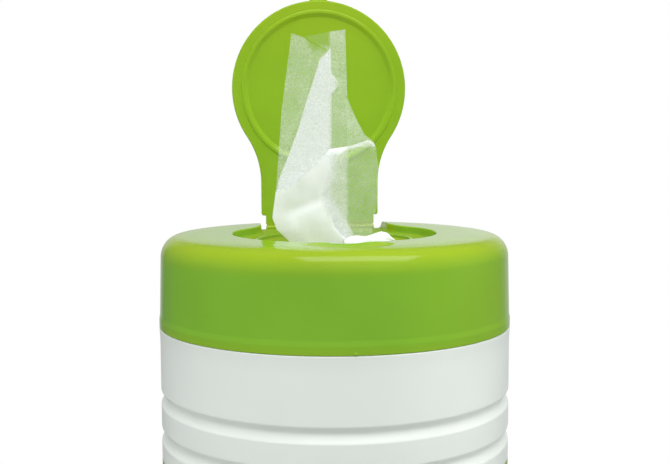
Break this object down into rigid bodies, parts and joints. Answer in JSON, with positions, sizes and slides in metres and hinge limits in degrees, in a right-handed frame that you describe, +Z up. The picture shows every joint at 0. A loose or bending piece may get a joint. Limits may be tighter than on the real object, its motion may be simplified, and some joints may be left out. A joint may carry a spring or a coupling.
{
  "type": "wet wipes canister",
  "caption": "Round ribbed canister of wet wipes with a pull-off lid, a keyhole flip cap standing open, and a wipe drawn out through the dispensing slot.",
  "frame": {"origin": "middle of the tub's base, on the surface that it stands on", "axes": "+Z up along the canister's axis, +Y from the front scoop towards the flip cap's hinge, +X to the right seen from the front"},
  "size_m": [0.11, 0.11, 0.286],
  "materials": {
    "white_plastic": "smooth blown wall, satin",
    "green_plastic": "polished moulding, glossy",
    "label_film": "printed film, satin, plain colour fields",
    "wet_cloth": "damp nonwoven, translucent in one layer"
  },
  "bodies": {
    "canister": {"tub": "white_plastic", "label": "label_film", "wipe_roll": "wet_cloth"},
    "lid": {"lid": "green_plastic", "wipe": "wet_cloth"},
    "flip_cap": {"flip_cap": "green_plastic"}
  },
  "joints": [
    {"name": "lid_pull", "type": "slide", "parent": "canister", "child": "lid", "axis": [0, 0, 1], "range_m": [0, 0.03]},
    {"name": "cap_hinge", "type": "hinge", "parent": "lid", "child": "flip_cap", "pos_m": [0, 0.05, 0.20235], "axis": [-1, 0, 0], "range_deg": [-90, 15], "deforming": ["wipe"]}
  ]
}
